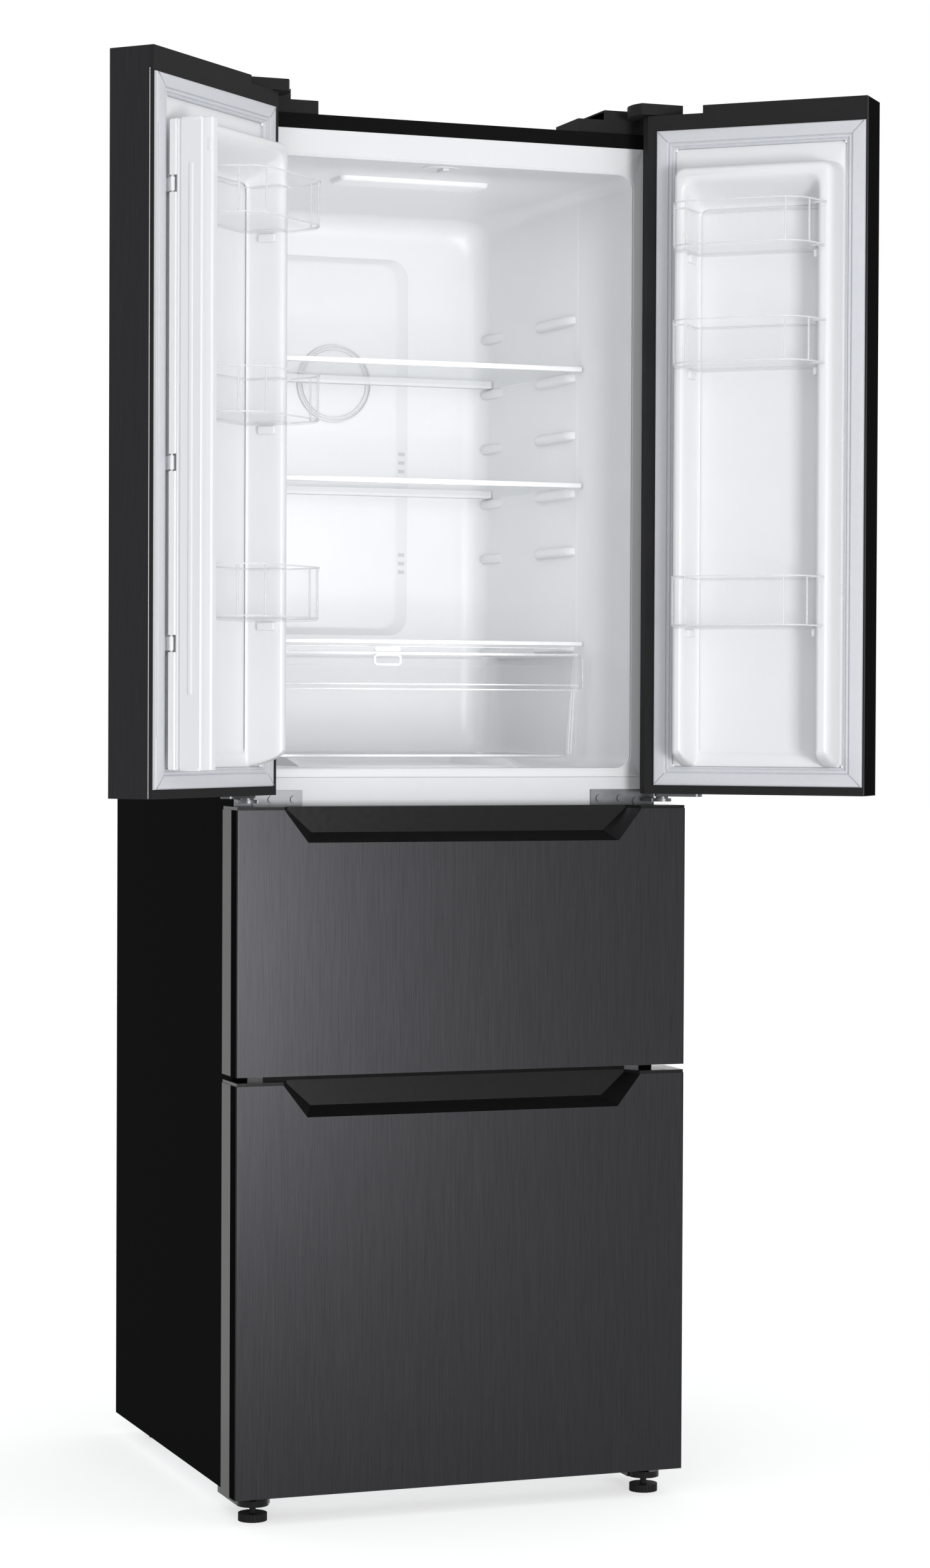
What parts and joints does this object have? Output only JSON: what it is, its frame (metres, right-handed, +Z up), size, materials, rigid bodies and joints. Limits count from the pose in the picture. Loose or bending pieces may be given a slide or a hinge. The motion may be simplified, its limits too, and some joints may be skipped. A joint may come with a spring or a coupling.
{
  "type": "refrigerator",
  "caption": "Slim freestanding fridge-freezer: two hinged fridge doors with clear bins and a folding centre flap above freezer drawers with recessed handles",
  "frame": {"origin": "on the floor, at the middle of the width, under the front face of the cabinet body (the doors and drawer fronts stand in front of it)", "axes": "+Z up, +Y from the front to the back, +X to the right as seen from the front"},
  "size_m": [0.9926, 0.8472, 1.7685],
  "materials": {
    "black_steel": "gloss",
    "dark_painted_steel": "satin",
    "galvanised_steel": "satin",
    "dark_brushed_steel": "satin",
    "zinc_steel": "satin",
    "bare_aluminium": "satin",
    "compressor_paint": "satin",
    "black_plastic": "satin",
    "gloss_black_plastic": "gloss",
    "foot_plastic": "satin",
    "white_plastic": "satin",
    "frosted_plastic": "satin",
    "clear_plastic": "gloss",
    "shelf_glass": "gloss",
    "grey_rubber": "satin",
    "foam": "matte"
  },
  "bodies": {
    "cabinet": {"cabinet_shell": "black_steel", "back_panel": "galvanised_steel", "cabinet_foam": "foam", "fridge_liner": "white_plastic", "divider_front": "white_plastic", "freezer_liner": "white_plastic", "freezer_crossbar": "dark_painted_steel", "base_plate": "galvanised_steel", "compressor": "compressor_paint", "compressor_cover": "black_plastic", "evaporator": "bare_aluminium", "freezer_back_cover": "white_plastic", "fridge_air_duct": "white_plastic", "clear_covers": "clear_plastic", "flap_guide": "white_plastic", "crisper_lid": "shelf_glass", "hinge_brackets": "zinc_steel", "hinge_screws": "zinc_steel", "top_hinge_covers": "black_plastic", "foot_brackets": "gloss_black_plastic", "rail_channels": "zinc_steel"},
    "left_door": {"left_door_skin": "dark_brushed_steel", "left_door_frame": "black_plastic", "left_door_core": "foam", "left_door_liner": "white_plastic", "left_door_seal": "grey_rubber", "left_door_cam": "zinc_steel", "left_door_bins": "clear_plastic"},
    "right_door": {"right_door_skin": "dark_brushed_steel", "right_door_frame": "black_plastic", "right_door_core": "foam", "right_door_liner": "white_plastic", "right_door_seal": "grey_rubber", "right_door_cam": "zinc_steel", "right_door_bins": "clear_plastic"},
    "centre_flap": {"centre_flap": "white_plastic"},
    "upper_drawer": {"upper_drawer_skin": "dark_brushed_steel", "upper_drawer_frame": "gloss_black_plastic", "upper_drawer_core": "foam", "upper_drawer_panel": "white_plastic", "upper_drawer_seal": "grey_rubber", "upper_drawer_arms": "zinc_steel", "upper_drawer_basket": "frosted_plastic"},
    "lower_drawer": {"lower_drawer_skin": "dark_brushed_steel", "lower_drawer_frame": "gloss_black_plastic", "lower_drawer_core": "foam", "lower_drawer_panel": "white_plastic", "lower_drawer_seal": "grey_rubber", "lower_drawer_arms": "zinc_steel", "lower_drawer_basket": "frosted_plastic"},
    "upper_shelf": {"upper_shelf_glass": "shelf_glass", "upper_shelf_trims": "white_plastic"},
    "lower_shelf": {"lower_shelf_glass": "shelf_glass", "lower_shelf_trims": "white_plastic"},
    "crisper_drawer": {"crisper_drawer": "clear_plastic"},
    "fan_rotor": {"fan_rotor": "white_plastic"},
    "front_foot_left": {"front_foot_left": "foot_plastic"},
    "front_foot_right": {"front_foot_right": "foot_plastic"},
    "rear_roller_left": {"rear_roller_left": "foot_plastic"},
    "rear_roller_right": {"rear_roller_right": "foot_plastic"}
  },
  "joints": [
    {"name": "left_door_hinge", "type": "hinge", "parent": "cabinet", "child": "left_door", "pos_m": [-0.2765, -0.04, 0.9], "axis": [0, 0, -1], "range_deg": [-137.3, 7.7]},
    {"name": "right_door_hinge", "type": "hinge", "parent": "cabinet", "child": "right_door", "pos_m": [0.2765, -0.04, 0.9], "axis": [0, 0, 1], "range_deg": [-138.2, 6.8]},
    {"name": "centre_flap_hinge", "type": "hinge", "parent": "left_door", "child": "centre_flap", "pos_m": [-0.42994, -0.24296, 1.285], "axis": [0, 0, 1], "range_deg": [-90, 0]},
    {"name": "upper_drawer_slide", "type": "slide", "parent": "cabinet", "child": "upper_drawer", "axis": [0, -1, 0], "range_m": [0, 0.3]},
    {"name": "lower_drawer_slide", "type": "slide", "parent": "cabinet", "child": "lower_drawer", "axis": [0, -1, 0], "range_m": [0, 0.3]},
    {"name": "upper_shelf_slide", "type": "slide", "parent": "cabinet", "child": "upper_shelf", "axis": [0, -1, 0], "range_m": [0, 0.24]},
    {"name": "lower_shelf_slide", "type": "slide", "parent": "cabinet", "child": "lower_shelf", "axis": [0, -1, 0], "range_m": [0, 0.24]},
    {"name": "crisper_drawer_slide", "type": "slide", "parent": "cabinet", "child": "crisper_drawer", "axis": [0, -1, 0], "range_m": [0, 0.3]},
    {"name": "fan_spin", "type": "hinge", "parent": "cabinet", "child": "fan_rotor", "pos_m": [0, 0.428, 0.7], "axis": [0, 1, 0], "continuous": true},
    {"name": "front_foot_left_turn", "type": "hinge", "parent": "cabinet", "child": "front_foot_left", "pos_m": [-0.262, -0.025, 0.01], "axis": [0, 0, 1], "continuous": true},
    {"name": "rear_roller_left_spin", "type": "hinge", "parent": "cabinet", "child": "rear_roller_left", "pos_m": [-0.24, 0.505, 0.014], "axis": [1, 0, 0], "continuous": true},
    {"name": "front_foot_right_turn", "type": "hinge", "parent": "cabinet", "child": "front_foot_right", "pos_m": [0.262, -0.025, 0.01], "axis": [0, 0, 1], "continuous": true},
    {"name": "rear_roller_right_spin", "type": "hinge", "parent": "cabinet", "child": "rear_roller_right", "pos_m": [0.24, 0.505, 0.014], "axis": [1, 0, 0], "continuous": true}
  ]
}
